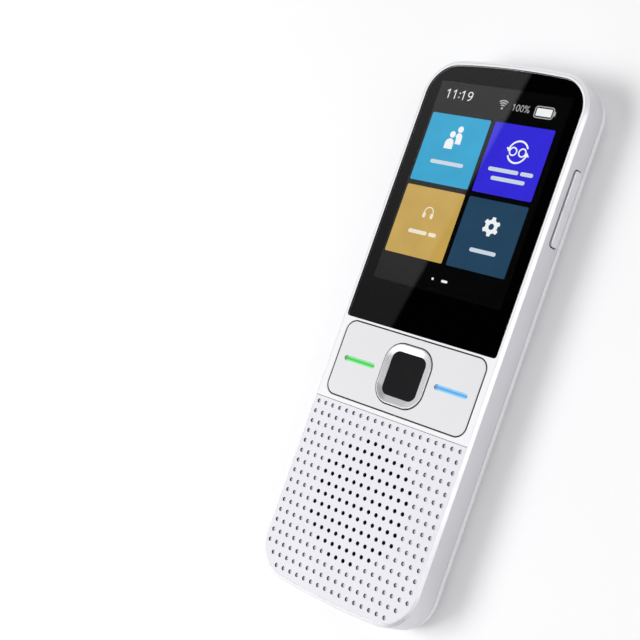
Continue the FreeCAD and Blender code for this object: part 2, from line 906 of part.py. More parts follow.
def make_power_key():
    outer_x = -half_width - side_key_rise
    flange_x = -half_width + frame_wall + power_flange_seat
    inner_x = flange_x + power_flange_thickness
    key = side_plate(power_y, side_key_middle, power_key_length, side_key_height, side_key_corner,
                     outer_x, inner_x)
    key = key.makeFillet(side_key_edge, edges_at_x(key, outer_x))
    flange = side_plate(power_y, side_key_middle, power_flange_length, side_key_height, side_key_corner,
                        flange_x, inner_x)
    stem = rod_along_x(power_y, side_key_middle, inner_x - overlap, inner_x + power_stem_length,
                       power_stem_diameter)
    return joined([key, flange, stem])


def side_switch(y, button_tip, inward):
    """A small push switch with its button towards the wall; inward is the sign of X into the body."""
    face = button_tip + inward * switch_button
    rear = face + inward * switch_depth
    x0, x1 = sorted((face, rear))
    block = box(x0, x1, y - switch_width / 2, y + switch_width / 2,
                side_key_middle - switch_height / 2, side_key_middle + switch_height / 2)
    x0, x1 = sorted((button_tip, face + inward * overlap))
    return joined([block, rod_along_x(y, side_key_middle, x0, x1, switch_button_diameter)])


def volume_switch_tip():
    return half_width - volume_key_depth - switch_free_gap


def power_switch_tip():
    flange_x = -half_width + frame_wall + power_flange_seat
    stem_end = flange_x + power_flange_thickness + power_stem_length
    return stem_end + power_key_travel + power_free_gap


def make_volume_switches():
    low = side_switch(volume_y - switch_spacing / 2, volume_switch_tip(), -1)
    high = side_switch(volume_y + switch_spacing / 2, volume_switch_tip(), -1)
    return Part.makeCompound([low, high])


def make_power_switch():
    return side_switch(power_y, power_switch_tip(), 1)


def side_board(y, length, switch_rear, inward):
    x0, x1 = sorted((switch_rear, switch_rear + inward * side_board_thickness))
    top = carrier_bottom_z - side_board_drop
    return box(x0, x1, y - length / 2, y + length / 2, top - side_board_height, top)


def make_volume_board():
    rear = volume_switch_tip() - switch_button - switch_depth
    return side_board(volume_y, volume_key_length, rear, -1)


def make_power_board():
    rear = power_switch_tip() + switch_button + switch_depth
    return side_board(power_y, power_flange_length, rear, 1)


# Electronics


def make_main_board():
    board = prism(frame_wall + board_gap, board_bottom, board_top).common(above(board_bottom_y))
    volume_edge = volume_switch_tip() - switch_button - switch_depth - side_board_thickness
    power_edge = power_switch_tip() + switch_button + switch_depth + side_board_thickness
    volume_half = volume_key_length / 2 + side_board_notch
    power_half = power_flange_length / 2 + side_board_notch
    z0 = board_bottom - overshoot
    z1 = board_top + overshoot
    board = board.cut(box(volume_edge, body_width, volume_y - volume_half, volume_y + volume_half, z0, z1))
    board = board.cut(box(-body_width, power_edge, power_y - power_half, power_y + power_half, z0, z1))
    for x, y in board_screw_places():
        board = board.cut(rod(x, y, z0, z1, screw_diameter + 2 * screw_hole_gap))
    return board


def make_board_screws():
    screws = []
    for x, y in board_screw_places():
        head = rod(x, y, board_bottom - screw_head_height, board_bottom, screw_head_diameter)
        shank = rod(x, y, board_bottom - overlap, board_top + tab_height - screw_tip_gap, screw_diameter)
        screws.append(joined([head, shank]))
    return Part.makeCompound(screws)


def make_shield_cans():
    cans = []
    middle = (battery_bottom_y + battery_top_y) / 2
    places = ((middle - low_can_offset, low_can_length), (middle + high_can_offset, high_can_length))
    for y, length in places:
        outer = plate(0, y, can_width, length, can_corner, board_bottom - can_height, board_bottom)
        inner = plate(0, y, can_width - 2 * can_wall, length - 2 * can_wall, can_corner - can_wall,
                      board_bottom - can_height + can_wall, board_bottom + overshoot)
        cans.append(outer.cut(inner))
    return Part.makeCompound(cans)


def make_battery():
    length = battery_top_y - battery_bottom_y
    middle = (battery_top_y + battery_bottom_y) / 2
    cell = plate(0, middle, battery_width, length, battery_corner, battery_bottom_z, battery_top_z)
    return cell.makeFillet(battery_edge, level_edges(cell, battery_top_z) + level_edges(cell,
                                                                                        battery_bottom_z))


def make_battery_tape():
    middle = (battery_top_y + battery_bottom_y) / 2
    length = battery_top_y - battery_bottom_y - 2 * battery_tape_margin
    return plate(0, middle, battery_width - 2 * battery_tape_margin, length, battery_tape_corner,
                 cover_wall, battery_bottom_z)


def make_battery_connector():
    y0 = battery_top_y + connector_gap
    return box(-connector_width / 2, connector_width / 2, y0, y0 + connector_length,
               battery_top_z, board_bottom)


def make_battery_lead():
    half = connector_width / 2 - lead_margin
    y0 = battery_top_y
    y1 = battery_top_y + lead_reach
    z = battery_top_z - lead_drop
    run = box(-half, half, y0, y1, z, z + flex_thickness)
    rise = box(-half, half, y1 - flex_thickness, y1, z, battery_top_z)
    return joined([run, rise])


def make_charge_board():
    y0 = bottom_end + charge_board_from_end
    board = box(-charge_board_width / 2, charge_board_width / 2, y0, y0 + charge_board_length,
                charge_board_bottom, charge_board_top)
    board = board.common(prism(cover_wall + charge_board_gap, charge_board_bottom, charge_board_top))
    for x, y in charge_screw_places():
        board = board.cut(rod(x, y, charge_board_bottom, charge_board_top,
                              screw_diameter + 2 * screw_hole_gap))
    return board


def make_charge_screws():
    screws = []
    for x, y in charge_screw_places():
        head = rod(x, y, charge_board_top, charge_board_top + screw_head_height, screw_head_diameter)
        shank = rod(x, y, charge_board_bottom - charge_screw_reach, charge_board_top + overlap,
                    screw_diameter)
        screws.append(joined([head, shank]))
    return Part.makeCompound(screws)


def make_socket():
    y0 = socket_mouth_y
    y1 = y0 + socket_length
    corner = socket_height / 2 - round_end_margin
    shell = end_plate(0, socket_z, socket_width, socket_height, corner, y0, y1)
    inner_height = socket_height - 2 * socket_wall
    cavity = end_plate(0, socket_z, socket_width - 2 * socket_wall, inner_height,
                       inner_height / 2 - round_end_margin,
                       y0 - overshoot, y1 - socket_back)
    tongue = box(-tongue_width / 2, tongue_width / 2, y1 - socket_back - tongue_length,
                 y1 - socket_back + overlap,
                 socket_z - tongue_thickness / 2, socket_z + tongue_thickness / 2)
    return joined([shell.cut(cavity), tongue])


def make_link_flex():
    half = link_width / 2
    y0 = bottom_end + charge_board_from_end + charge_board_length - link_low_reach
    y1 = board_bottom_y + link_high_reach
    z = charge_board_bottom
    run = box(-half, half, y0, y1, z - flex_thickness, z)
    rise = box(-half, half, y1 - flex_thickness, y1, z - flex_thickness, board_bottom)
    return joined([run, rise])


# Sound


def make_speaker_mesh():
    return rod(0, speaker_centre(), panel_seat - mesh_thickness, panel_seat, speaker_diameter)


def make_speaker_gasket():
    z1 = panel_seat - mesh_thickness
    return tube(0, speaker_centre(), z1 - gasket_thickness, z1, speaker_diameter,
                sound_diameter + gasket_clearance)


def speaker_top():
    return panel_seat - mesh_thickness - gasket_thickness


def make_speaker_basket():
    y = speaker_centre()
    top = speaker_top()
    rim_bottom = top - speaker_rim
    back = top - speaker_depth + magnet_height
    wide = speaker_diameter / 2 - basket_step
    outside = Part.makeCone(magnet_diameter / 2 + basket_step, wide, rim_bottom - back, vector(0, y, back))
    rim = rod(0, y, rim_bottom, top, speaker_diameter)
    hollow = Part.makeCone(magnet_diameter / 2, wide, top - back - basket_wall,
                           vector(0, y, back + basket_wall))
    return joined([outside, rim]).cut(hollow)


def make_speaker_magnet():
    back = speaker_top() - speaker_depth
    return rod(0, speaker_centre(), back, back + magnet_height, magnet_diameter)


def make_speaker_cone():
    y = speaker_centre()
    low = speaker_top() - cone_drop - cone_depth
    outer = sound_diameter / 2 - cone_margin
    solid = Part.makeCone(cone_inner_radius, outer, cone_depth, vector(0, y, low))
    hollow = Part.makeCone(cone_inner_radius, outer, cone_depth, vector(0, y, low + cone_skin))
    plug = rod(0, y, low, low + cone_skin, 2 * (cone_inner_radius + cone_plug_margin))
    coil_low = speaker_top() - speaker_depth + magnet_height + coil_gap
    coil = tube(0, y, coil_low, low + overlap, coil_diameter, coil_diameter - 2 * coil_wall)
    return joined([solid.cut(hollow), plug, coil])


def make_bottom_microphone():
    y0 = bottom_end + charge_board_from_end + bottom_microphone_inset
    half = microphone_width / 2
    return box(bottom_port_x - half, bottom_port_x + half, y0, y0 + microphone_length,
               charge_board_top, charge_board_top + microphone_height)


def make_top_microphone():
    y1 = top_end - frame_wall - board_gap - top_microphone_inset
    half = microphone_width / 2
    return box(top_port_x - half, top_port_x + half, y1 - microphone_length, y1,
               board_top, board_top + microphone_height)


def make_microphone_boots():
    half = boot_width / 2
    low_y0 = bottom_end + frame_wall + bottom_boot_gap
    low_y1 = bottom_end + charge_board_from_end + bottom_microphone_inset
    low = box(bottom_port_x - half, bottom_port_x + half, low_y0, low_y1,
              bottom_port_height - boot_height / 2, bottom_port_height + boot_height / 2)
    low = low.cut(rod_along_y(bottom_port_x, bottom_port_height, low_y0, low_y1, port_diameter))
    low = low.common(prism(frame_wall + seat_gap, parting_height, panel_seat))
    high_y0 = top_end - frame_wall - board_gap - top_microphone_inset
    high_y1 = top_end - frame_wall - top_boot_gap
    high = box(top_port_x - half, top_port_x + half, high_y0, high_y1,
               board_top, top_port_height + boot_height / 2)
    high = high.cut(rod_along_y(top_port_x, top_port_height, high_y0, high_y1, port_diameter))
    return Part.makeCompound([low, high])


# Rear camera


def make_camera_window():
    return rod(0, camera_y, 0, window_thickness, window_diameter)


def make_camera_trim():
    return tube(0, camera_y, 0, window_thickness, window_diameter + 2 * trim_width,
                window_diameter + 2 * seat_gap)


def make_camera_module():
    lens_high = board_bottom - camera_height
    lens = rod(0, camera_y, window_thickness + lens_gap, lens_high + overlap, lens_diameter)
    lens = lens.cut(rod(0, camera_y, window_thickness, window_thickness + lens_recess,
                        lens_diameter - 2 * lens_wall))
    block = plate(0, camera_y, camera_size, camera_size, camera_corner, lens_high, board_bottom)
    return joined([block, lens])


def make_flash_pipe():
    return rod(flash_x, camera_y, 0, board_bottom - flash_led_height, flash_diameter)


def make_flash_led():
    half = flash_led_size / 2
    return box(flash_x - half, flash_x + half, camera_y - half, camera_y + half,
               board_bottom - flash_led_height, board_bottom)


def make_antenna():
    y = top_end - antenna_from_top - antenna_length / 2
    return plate(0, y, antenna_width, antenna_length, antenna_corner, cover_wall,
                 cover_wall + flex_thickness)


save("mid_frame", make_mid_frame())
save("back_cover", make_back_cover())
save("front_bezel", make_front_bezel())
save("grille_panel", make_grille_panel())
save("cover_glass", make_cover_glass())
save("black_print", make_black_print())
save("glass_tape", make_glass_tape())
save("lcd_cell", make_lcd_cell())
save("backlight", make_backlight())
save("display_carrier", make_display_carrier())
save("display_flex", make_display_flex())
save("key_plate", make_key_plate())
save("green_light_bar", make_light_bar(-1))
save("blue_light_bar", make_light_bar(1))
save("centre_key_ring", make_centre_ring())
save("centre_key_cap", make_centre_cap())
save("centre_key_carrier", make_centre_carrier())
save("key_domes", make_key_domes())
save("key_pad", make_key_pad())
save("indicator_leds", make_indicator_leds())
save("volume_rocker", make_volume_rocker())
save("volume_switches", make_volume_switches())
save("volume_switch_board", make_volume_board())
save("power_key", make_power_key())
save("power_switch", make_power_switch())
save("power_switch_board", make_power_board())
save("main_board", make_main_board())
save("board_screws", make_board_screws())
save("shield_cans", make_shield_cans())
save("battery", make_battery())
save("battery_tape", make_battery_tape())
save("battery_connector", make_battery_connector())
save("battery_lead", make_battery_lead())
save("charging_board", make_charge_board())
save("charging_board_screws", make_charge_screws())
save("charging_socket", make_socket())
save("link_flex", make_link_flex())
save("speaker_mesh", make_speaker_mesh())
save("speaker_gasket", make_speaker_gasket())
save("speaker_basket", make_speaker_basket())
save("speaker_magnet", make_speaker_magnet())
save("speaker_cone", make_speaker_cone())
save("bottom_microphone", make_bottom_microphone())
save("top_microphone", make_top_microphone())
save("microphone_boots", make_microphone_boots())
save("camera_window", make_camera_window())
save("camera_trim", make_camera_trim())
save("camera_module", make_camera_module())
save("flash_light_pipe", make_flash_pipe())
save("flash_led", make_flash_led())
save("wifi_antenna", make_antenna())
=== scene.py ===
import math

import bmesh
import bpy
from mathutils import Matrix, Vector


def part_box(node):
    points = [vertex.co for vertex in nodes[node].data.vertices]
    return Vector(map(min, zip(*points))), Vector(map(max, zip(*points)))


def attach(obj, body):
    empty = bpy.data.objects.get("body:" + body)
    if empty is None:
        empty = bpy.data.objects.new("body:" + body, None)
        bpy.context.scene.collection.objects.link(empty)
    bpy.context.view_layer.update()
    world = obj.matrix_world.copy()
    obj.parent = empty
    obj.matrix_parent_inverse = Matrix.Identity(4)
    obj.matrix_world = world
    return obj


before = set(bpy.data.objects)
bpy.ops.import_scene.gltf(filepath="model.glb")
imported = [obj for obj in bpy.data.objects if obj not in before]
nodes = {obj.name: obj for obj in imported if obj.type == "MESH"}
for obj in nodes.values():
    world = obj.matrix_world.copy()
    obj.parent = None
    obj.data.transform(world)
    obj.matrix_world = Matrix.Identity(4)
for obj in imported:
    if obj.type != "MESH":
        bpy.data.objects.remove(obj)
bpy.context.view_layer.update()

MM = 0.001
scene = bpy.context.scene
scene.view_settings.view_transform = "Standard"


# Colours

def rgb(red, green, blue):
    """Display values from 0 to 255 as linear colour."""
    out = []
    for value in (red, green, blue):
        c = value / 255.0
        out.append(c / 12.92 if c <= 0.04045 else ((c + 0.055) / 1.055) ** 2.4)
    return (out[0], out[1], out[2], 1.0)


def shade(colour, factor):
    return tuple(min(1.0, c * factor) for c in colour[:3]) + (1.0,)


# Materials: each has a fine grain, a slow drift of colour and an uneven gloss

def link(tree, a, a_name, b, b_name):
    tree.links.new(a.outputs[a_name], b.inputs[b_name])


def new_noise(tree, coords, scale, detail):
    n = tree.nodes.new("ShaderNodeTexNoise")
    n.inputs["Scale"].default_value = scale
    n.inputs["Detail"].default_value = detail
    link(tree, coords, "Object", n, "Vector")
    return n


def new_ramp(tree, source, output, low, high, low_at=0.3, high_at=0.7):
    r = tree.nodes.new("ShaderNodeValToRGB")
    r.color_ramp.elements[0].color = low
    r.color_ramp.elements[1].color = high
    r.color_ramp.elements[0].position = low_at
    r.color_ramp.elements[1].position = high_at
    link(tree, source, output, r, "Fac")
    return r


def new_range(tree, source, output, low, high, from_low=0.3, from_high=0.7):
    r = tree.nodes.new("ShaderNodeMapRange")
    r.inputs["From Min"].default_value = from_low
    r.inputs["From Max"].default_value = from_high
    r.inputs["To Min"].default_value = low
    r.inputs["To Max"].default_value = high
    link(tree, source, output, r, "Value")
    return r


def surface(name, colour, rough, metallic=0.0, drift=0.03, rough_drift=0.05,
            grain=0.25, grain_depth=0.004, bump=0.25, coat=0.0, drift_size=14.0, gloss_level=0.5):
    """A Principled surface. grain and grain_depth are in millimetres."""
    m = bpy.data.materials.new(name)
    m.use_nodes = True
    tree = m.node_tree
    shader = tree.nodes["Principled BSDF"]
    coords = tree.nodes.new("ShaderNodeTexCoord")
    slow = new_noise(tree, coords, 1000.0 / drift_size, 3.0)
    ramp = new_ramp(tree, slow, "Fac", shade(colour, 1.0 - drift), shade(colour, 1.0 + drift))
    link(tree, ramp, "Color", shader, "Base Color")
    worn = new_noise(tree, coords, 1000.0 / (drift_size * 0.22), 4.0)
    gloss = new_range(tree, worn, "Fac", max(0.02, rough - rough_drift),
                      min(1.0, rough + rough_drift))
    link(tree, gloss, "Result", shader, "Roughness")
    fine = new_noise(tree, coords, 1000.0 / grain, 2.0)
    b = tree.nodes.new("ShaderNodeBump")
    b.inputs["Strength"].default_value = bump
    b.inputs["Distance"].default_value = grain_depth * MM
    link(tree, fine, "Fac", b, "Height")
    link(tree, b, "Normal", shader, "Normal")
    shader.inputs["Metallic"].default_value = metallic
    shader.inputs["Specular IOR Level"].default_value = gloss_level
    shader.inputs["Coat Weight"].default_value = coat
    shader.inputs["Coat Roughness"].default_value = 0.08
    return m, tree, shader, coords


def clear(name, colour, rough):
    """Glass or clear plastic."""
    m = bpy.data.materials.new(name)
    m.use_nodes = True
    shader = m.node_tree.nodes["Principled BSDF"]
    shader.inputs["Base Color"].default_value = colour
    shader.inputs["Roughness"].default_value = rough
    shader.inputs["IOR"].default_value = 1.5
    shader.inputs["Transmission Weight"].default_value = 1.0
    return m


def lit(name, colour, strength, drift=0.05):
    """A surface that shines with a slightly uneven light of its own."""
    m = bpy.data.materials.new(name)
    m.use_nodes = True
    tree = m.node_tree
    shader = tree.nodes["Principled BSDF"]
    coords = tree.nodes.new("ShaderNodeTexCoord")
    n = new_noise(tree, coords, 1000.0 / 6.0, 2.0)
    ramp = new_ramp(tree, n, "Fac", shade(colour, 1.0 - drift), shade(colour, 1.0 + drift))
    link(tree, ramp, "Color", shader, "Emission Color")
    shader.inputs["Emission Strength"].default_value = strength
    shader.inputs["Base Color"].default_value = (0.001, 0.001, 0.001, 1.0)
    shader.inputs["Roughness"].default_value = 0.4
    shader.inputs["Specular IOR Level"].default_value = 0.0
    return m


def light_bar(name, colour, edge_colour, middle_x):
    """A lit bar, brighter along both long edges and dimmer at its left end."""
    m = bpy.data.materials.new(name)
    m.use_nodes = True
    tree = m.node_tree
    shader = tree.nodes["Principled BSDF"]
    coords = tree.nodes.new("ShaderNodeTexCoord")
    place = tree.nodes.new("ShaderNodeSeparateXYZ")
    link(tree, coords, "Object", place, "Vector")
    across = tree.nodes.new("ShaderNodeMath")
    across.operation = "SUBTRACT"
    link(tree, place, "Y", across, 0)
    across.inputs[1].default_value = KEY_Y * MM
    away = tree.nodes.new("ShaderNodeMath")
    away.operation = "ABSOLUTE"
    tree.links.new(across.outputs["Value"], away.inputs[0])
    rim = new_range(tree, away, "Value", 0.0, 1.0, 0.12 * MM, 0.42 * MM)
    start = new_range(tree, place, "X", 0.45, 1.0, (middle_x - 4.6) * MM, (middle_x - 3.4) * MM)
    blend = tree.nodes.new("ShaderNodeMix")
    blend.data_type = "RGBA"
    blend.inputs[6].default_value = colour
    blend.inputs[7].default_value = edge_colour
    tree.links.new(rim.outputs["Result"], blend.inputs[0])
    dim = tree.nodes.new("ShaderNodeMix")
    dim.data_type = "RGBA"
    dim.inputs[6].default_value = (0.0, 0.0, 0.0, 1.0)
    tree.links.new(blend.outputs[2], dim.inputs[7])
    tree.links.new(start.outputs["Result"], dim.inputs[0])
    tree.links.new(dim.outputs[2], shader.inputs["Emission Color"])
    shader.inputs["Emission Strength"].default_value = 0.85
    shader.inputs["Base Color"].default_value = shade(colour, 0.35)
    shader.inputs["Roughness"].default_value = 0.15
    return m


def mix_in(tree, shader, factor_node, factor_output, colour):
    """Lays colour over the base colour where the factor is 1."""
    was = shader.inputs["Base Color"].links[0].from_socket
    mix = tree.nodes.new("ShaderNodeMix")
    mix.data_type = "RGBA"
    mix.inputs[7].default_value = colour
    tree.links.new(was, mix.inputs[6])
    tree.links.new(factor_node.outputs[factor_output], mix.inputs[0])
    tree.links.new(mix.outputs[2], shader.inputs["Base Color"])


def product(tree, a, b):
    n = tree.nodes.new("ShaderNodeMath")
    n.operation = "MULTIPLY"
    tree.links.new(a, n.inputs[0])
    tree.links.new(b, n.inputs[1])
    return n


def wall_gap_painted_shade(tree, shader, coords, colour):
    """Faces of the side wall's slots, a little way in, get darker: painted shade in the gaps round the
    side keys.
    """
    place = tree.nodes.new("ShaderNodeSeparateXYZ")
    link(tree, coords, "Object", place, "Vector")
    out = tree.nodes.new("ShaderNodeMath")
    out.operation = "ABSOLUTE"
    link(tree, place, "X", out, 0)
    deep = new_range(tree, out, "Value", 1.0, 0.0, 22.90 * MM, 22.99 * MM)
    low = new_range(tree, place, "Z", 0.0, 1.0, 5.20 * MM, 5.30 * MM)
    high = new_range(tree, place, "Z", 1.0, 0.0, 8.90 * MM, 9.00 * MM)
    start = new_range(tree, place, "Y", 0.0, 1.0, 24.5 * MM, 25.3 * MM)
    end = new_range(tree, place, "Y", 1.0, 0.0, 43.6 * MM, 43.9 * MM)
    inside = deep.outputs["Result"]
    for limit in (low, high, start, end):
        both = product(tree, inside, limit.outputs["Result"])
        inside = both.outputs["Value"]
    mix_in(tree, shader, both, "Value", colour)


def chamfer_painted_highlight(tree, shader, coords):
    """The chamfer round the front gets a lighter colour than the painted wall below it: a painted
    highlight.
    """
    place = tree.nodes.new("ShaderNodeSeparateXYZ")
    link(tree, coords, "Object", place, "Vector")
    rise = new_range(tree, place, "Z", 0.0, 1.0, CHAMFER_LOW * MM, (CHAMFER_LOW + 0.1) * MM)
    mix_in(tree, shader, rise, "Result", rgb(250, 250, 253))


def hole_wall_painted_shade(tree, shader, coords, colour):
    """Upright walls below the face get darker: painted shade inside small holes, dimples and the gaps
    round the keys.
    """
    geometry = tree.nodes.new("ShaderNodeNewGeometry")
    normal = tree.nodes.new("ShaderNodeSeparateXYZ")
    link(tree, geometry, "True Normal", normal, "Vector")
    upright = new_range(tree, normal, "Z", 1.0, 0.0, 0.25, 0.55)
    place = tree.nodes.new("ShaderNodeSeparateXYZ")
    link(tree, coords, "Object", place, "Vector")
    deep = new_range(tree, place, "Z", 1.0, 0.0,
                     (FACE_HEIGHT - 0.10) * MM, (FACE_HEIGHT - 0.02) * MM)
    both = product(tree, upright.outputs["Result"], deep.outputs["Result"])
    mix_in(tree, shader, both, "Value", colour)


bar_low, bar_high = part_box("blue_light_bar")
KEY_Y = (bar_low.y + bar_high.y) / 2 / MM
BAR_X = (bar_low.x + bar_high.x) / 2 / MM
WHITE = rgb(240, 240, 243)
FACE_HEIGHT = 11.5
CHAMFER_LOW = 10.85
# Colours of painted shade on the walls of holes and gaps
GAP_SHADE = rgb(52, 52, 55)
DEEP_SHADE = rgb(26, 26, 28)
silver, tree, shader, coords = surface("painted_silver", rgb(216, 216, 221), 0.34, metallic=0.45,
                                       grain=0.12, grain_depth=0.002, drift=0.015, coat=0.15)
# Painted shade: near-black on the slot faces of the side wall round the keys
wall_gap_painted_shade(tree, shader, coords, rgb(6, 6, 7))
# Painted highlight: near-white colour on the front chamfer
chamfer_painted_highlight(tree, shader, coords)
key_silver = surface("painted_silver_keys", rgb(226, 226, 231), 0.2, metallic=0.5, grain=0.12,
                     grain_depth=0.001, drift=0.01, rough_drift=0.015, coat=0.2)[0]
front_white, tree, shader, coords = surface("front_white_plastic", WHITE, 0.42, drift=0.012,
                                            grain=0.3, grain_depth=0.003)
# Painted shade on the walls of the gaps in the front plate
hole_wall_painted_shade(tree, shader, coords, DEEP_SHADE)
grille_white, tree, shader, coords = surface("grille_white_plastic", rgb(230, 229, 235), 0.5,
                                             drift=0.012, grain=0.22, grain_depth=0.004)
# Painted shade inside the grille's holes and dimples
hole_wall_painted_shade(tree, shader, coords, GAP_SHADE)
key_white, tree, shader, coords = surface("key_white_plastic", rgb(226, 226, 228), 0.42, drift=0.01,
                                          grain=0.35, grain_depth=0.002)
# Painted shade on the edges of the key plate
hole_wall_painted_shade(tree, shader, coords, DEEP_SHADE)
cover_white = surface("cover_white_plastic", rgb(236, 236, 239), 0.48, drift=0.015,
                      grain=0.28, grain_depth=0.006)[0]
ring_metal = surface("polished_metal", rgb(238, 238, 241), 0.28, metallic=0.75, drift=0.01,
                     grain=0.3, grain_depth=0.0003, bump=0.03, rough_drift=0.01)[0]
looks = {
    "frame_silver": silver,
    "cover_white": cover_white,
    "front_white": front_white,
    "key_white": key_white,
    "clear_glass": clear("clear_cover_glass", (1.0, 1.0, 1.0, 1.0), 0.0),
    "black_print": surface("black_glass_print", rgb(8, 8, 9), 0.3, drift=0.1, bump=0.02,
                           gloss_level=0.1)[0],
    "black_foam": surface("black_foam", rgb(24, 24, 25), 0.9, grain=0.4, grain_depth=0.05,
                          bump=0.6)[0],
    "lcd_dark": lit("dark_display", rgb(4, 4, 5), 1.0),
    "inner_plastic": surface("inner_plastic", rgb(205, 205, 200), 0.55, grain=0.4)[0],
    "thin_steel": surface("thin_steel", rgb(190, 190, 190), 0.3, metallic=1.0, grain=0.15)[0],
    "amber_flex": surface("amber_film", rgb(170, 96, 28), 0.3, drift=0.08, grain=0.5)[0],
    "green_light": light_bar("green_light", rgb(70, 188, 88), rgb(150, 238, 156), -BAR_X),
    "blue_light": light_bar("blue_light", rgb(80, 150, 212), rgb(150, 212, 250), BAR_X),
    "polished_ring": ring_metal,
    "black_cap": surface("black_cap_plastic", rgb(22, 22, 24), 0.55, drift=0.08, grain=0.2,
                         grain_depth=0.002, gloss_level=0.12)[0],
    "silicone": surface("grey_silicone", rgb(150, 150, 152), 0.7, grain=0.5)[0],
    "chip_plastic": surface("chip_plastic", rgb(38, 38, 40), 0.5, grain=0.3)[0],
    "board_green": surface("board_green", rgb(22, 92, 54), 0.35, drift=0.12, grain=0.6)[0],
    "battery_wrap": surface("battery_wrap", rgb(176, 178, 182), 0.3, metallic=0.6, drift=0.05)[0],
    "socket_steel": surface("socket_steel", rgb(196, 196, 198), 0.25, metallic=1.0, grain=0.15)[0],
    "speaker_cloth": surface("speaker_cloth", rgb(14, 14, 15), 0.85, grain=0.16, grain_depth=0.05,
                             bump=0.8)[0],
    "cone_paper": surface("cone_paper", rgb(34, 34, 35), 0.8, grain=0.4, grain_depth=0.03,
                          bump=0.5)[0],
    "camera_glass": clear("camera_glass", (0.9, 0.93, 1.0, 1.0), 0.0),
    "camera_black": surface("camera_black", rgb(16, 16, 18), 0.3, grain=0.3)[0],
    "flash_clear": clear("flash_clear", (1.0, 0.98, 0.9, 1.0), 0.25),
}
own_looks = {"grille_panel": grille_white, "volume_rocker": key_silver, "power_key": key_silver}
for node_name, obj in nodes.items():
    for slot in obj.material_slots:
        key = slot.material.name.split(".")[0]
        slot.material = own_looks.get(node_name, looks[key])


# Thin shapes on the display

SCREEN_Z = 10.56
LAYER = 0.02


def add_loop_solid(bm, points, low, high):
    """A thin solid with one outline."""
    bottom = [bm.verts.new((x * MM, y * MM, low * MM)) for x, y in points]
    top = [bm.verts.new((x * MM, y * MM, high * MM)) for x, y in points]
    count = len(points)
    bm.faces.new(top)
    bm.faces.new(list(reversed(bottom)))
    for i in range(count):
        j = (i + 1) % count
        bm.faces.new((bottom[i], bottom[j], top[j], top[i]))


def add_band_solid(bm, left, right, low, high, closed):
    """A thin solid between two lines with the same number of points."""
    rows = []
    for (xa, ya), (xb, yb) in zip(left, right):
        rows.append([bm.verts.new((x * MM, y * MM, z * MM))
                     for x, y, z in ((xa, ya, low), (xb, yb, low), (xb, yb, high), (xa, ya, high))])
    count = len(rows)
    for i in range(count if closed else count - 1):
        a = rows[i]
        b = rows[(i + 1) % count]
        for k in range(4):
            n = (k + 1) % 4
            bm.faces.new((a[k], a[n], b[n], b[k]))
    if not closed:
        bm.faces.new(list(reversed(rows[0])))
        bm.faces.new(rows[-1])


def arc(cx, cy, radius, start, end, steps):
    return [(cx + radius * math.cos(math.radians(start + (end - start) * i / steps)),
             cy + radius * math.sin(math.radians(start + (end - start) * i / steps)))
            for i in range(steps + 1)]


def disc(cx, cy, radius, steps=28):
    return arc(cx, cy, radius, 0.0, 360.0, steps)[:-1]


def rounded(x0, y0, x1, y1, radius, steps=5):
    return (arc(x1 - radius, y1 - radius, radius, 0, 90, steps)
            + arc(x0 + radius, y1 - radius, radius, 90, 180, steps)
            + arc(x0 + radius, y0 + radius, radius, 180, 270, steps)
            + arc(x1 - radius, y0 + radius, radius, 270, 360, steps))


def stroke(bm, points, width, low, high, closed=False):
    """A line of even width with mitred corners."""
    left = []
    right = []
    count = len(points)
    for i in range(count):
        here = Vector(points[i])
        before = Vector(points[i - 1]) if closed or i > 0 else None
        after = Vector(points[(i + 1) % count]) if closed or i < count - 1 else None
        a = (here - before).normalized() if before is not None else (after - here).normalized()
        b = (after - here).normalized() if after is not None else a
        across = Vector((-(a.y + b.y), a.x + b.x)).normalized()
        reach = width / 2.0 / max(0.35, across.dot(Vector((-a.y, a.x))))
        left.append((here.x + across.x * reach, here.y + across.y * reach))
        right.append((here.x - across.x * reach, here.y - across.y * reach))
    add_band_solid(bm, left, right, low, high, closed)


def finish_piece(bm, name, material, body):
    bmesh.ops.recalc_face_normals(bm, faces=bm.faces)
    mesh = bpy.data.meshes.new(name)
    bm.to_mesh(mesh)
    bm.free()
    for p in mesh.polygons:
        p.use_smooth = False
    mesh.materials.append(material)
    obj = bpy.data.objects.new(name, mesh)
    scene.collection.objects.link(obj)
    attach(obj, body)
    return obj


SEEN_THROUGH_GLASS = (-0.44, 0.12)


def screen_piece(name, material, layer, outlines=(), strokes=(), bands=()):
    """outlines: loops. strokes: (points, width, closed). bands: (outer, inner) closed loops."""
    low = SCREEN_Z + layer * LAYER
    high = low + LAYER * 0.8
    bm = bmesh.new()
    for loop in outlines:
        add_loop_solid(bm, centred(loop, *SEEN_THROUGH_GLASS), low, high)
    for points, width, closed in strokes:
        stroke(bm, centred(points, *SEEN_THROUGH_GLASS), width, low, high, closed)
    for outer, inner in bands:
        add_band_solid(bm, centred(outer, *SEEN_THROUGH_GLASS), centred(inner, *SEEN_THROUGH_GLASS),
                       low, high, True)
    return finish_piece(bm, name, material, "housing")


def centred(points, x, y, scale=1.0):
    return [(x + px * scale, y + py * scale) for px, py in points]


cyan = lit("display_cyan", rgb(38, 166, 211), 1.0)
indigo = lit("display_indigo", rgb(54, 45, 222), 1.0)
gold = lit("display_gold", rgb(202, 166, 84), 1.0)
slate = lit("display_slate", rgb(38, 70, 96), 1.0)
glow = lit("display_white", rgb(246, 250, 252), 1.0, drift=0.02)
label_glow = lit("display_label", rgb(214, 226, 238), 0.95, drift=0.02)
soft_glow = lit("display_cream", rgb(250, 240, 214), 0.95, drift=0.02)
grey_glow = lit("display_grey", rgb(190, 190, 190), 0.9, drift=0.02)

